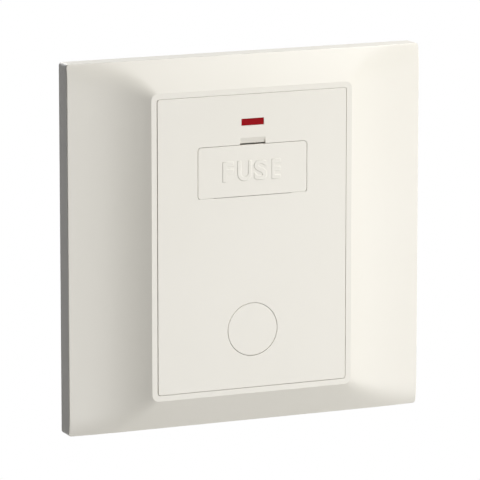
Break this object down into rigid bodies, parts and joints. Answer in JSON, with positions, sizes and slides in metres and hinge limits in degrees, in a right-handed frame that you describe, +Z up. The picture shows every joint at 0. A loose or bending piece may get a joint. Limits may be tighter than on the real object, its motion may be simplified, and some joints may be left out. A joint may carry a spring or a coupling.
{
  "type": "fused spur unit",
  "caption": "Single-gang fused spur unit with a flared clip-on cover plate, flush front panel, tilting fuse carrier, red neon window and a round blank over its flex outlet.",
  "frame": {"origin": "on the wall plane, midway between the two fixing screws", "axes": "+X right as seen from the front, +Y into the wall, +Z up"},
  "size_m": [0.09, 0.035, 0.088],
  "materials": {
    "plate_plastic": "satin ivory moulding",
    "panel_plastic": "satin ivory moulding",
    "carrier_plastic": "satin ivory moulding",
    "plug_plastic": "satin ivory moulding",
    "housing_plastic": "matt pale grey moulding",
    "clamp_plastic": "matt pale grey moulding",
    "zinc_steel": "zinc-plated pressed sheet",
    "fuse_ceramic": "white ceramic",
    "nickel_caps": "nickel plate",
    "element_wire": "tinned wire",
    "bronze_strip": "rolled spring strip",
    "terminal_brass": "extruded bar",
    "brass_strip": "rolled strip",
    "screw_steel": "yellow passivated zinc",
    "fixing_steel": "zinc plate",
    "red_lens": "translucent red",
    "lamp_glass": "clear glass",
    "resistor_body": "lacquered",
    "lead_sleeve": "soft sleeve"
  },
  "bodies": {
    "spur_body": {"support_frame": "zinc_steel", "front_panel": "panel_plastic", "rear_housing": "housing_plastic", "supply_fuse_clip": "bronze_strip", "load_fuse_clip": "bronze_strip", "supply_live_terminal": "terminal_brass", "load_live_terminal": "terminal_brass", "supply_neutral_terminal": "terminal_brass", "load_neutral_terminal": "terminal_brass", "supply_earth_terminal": "terminal_brass", "load_earth_terminal": "terminal_brass", "terminal_screws": "screw_steel", "neutral_link": "brass_strip", "earth_strap": "brass_strip", "neon_lens": "red_lens", "neon_lamp": "lamp_glass", "neon_resistor": "resistor_body", "neon_leads": "lead_sleeve", "cord_clamp": "clamp_plastic", "cord_clamp_screws": "screw_steel", "housing_screws": "screw_steel", "fixing_screws": "fixing_steel"},
    "carrier": {"fuse_carrier": "carrier_plastic", "fuse_tube": "fuse_ceramic", "fuse_caps": "nickel_caps", "fuse_element": "element_wire"},
    "plate": {"cover_plate": "plate_plastic"},
    "plug": {"outlet_plug": "plug_plastic"}
  },
  "joints": [
    {"name": "fuse_carrier_tilt", "type": "hinge", "parent": "spur_body", "child": "carrier", "pos_m": [0, -0.00825, 0.01195], "axis": [1, 0, 0], "range_deg": [0, 75]},
    {"name": "cover_plate_pull", "type": "slide", "parent": "spur_body", "child": "plate", "axis": [0, -1, 0], "range_m": [0, 0.02]},
    {"name": "outlet_plug_pull", "type": "slide", "parent": "spur_body", "child": "plug", "axis": [0, -1, 0], "range_m": [0, 0.012]}
  ]
}
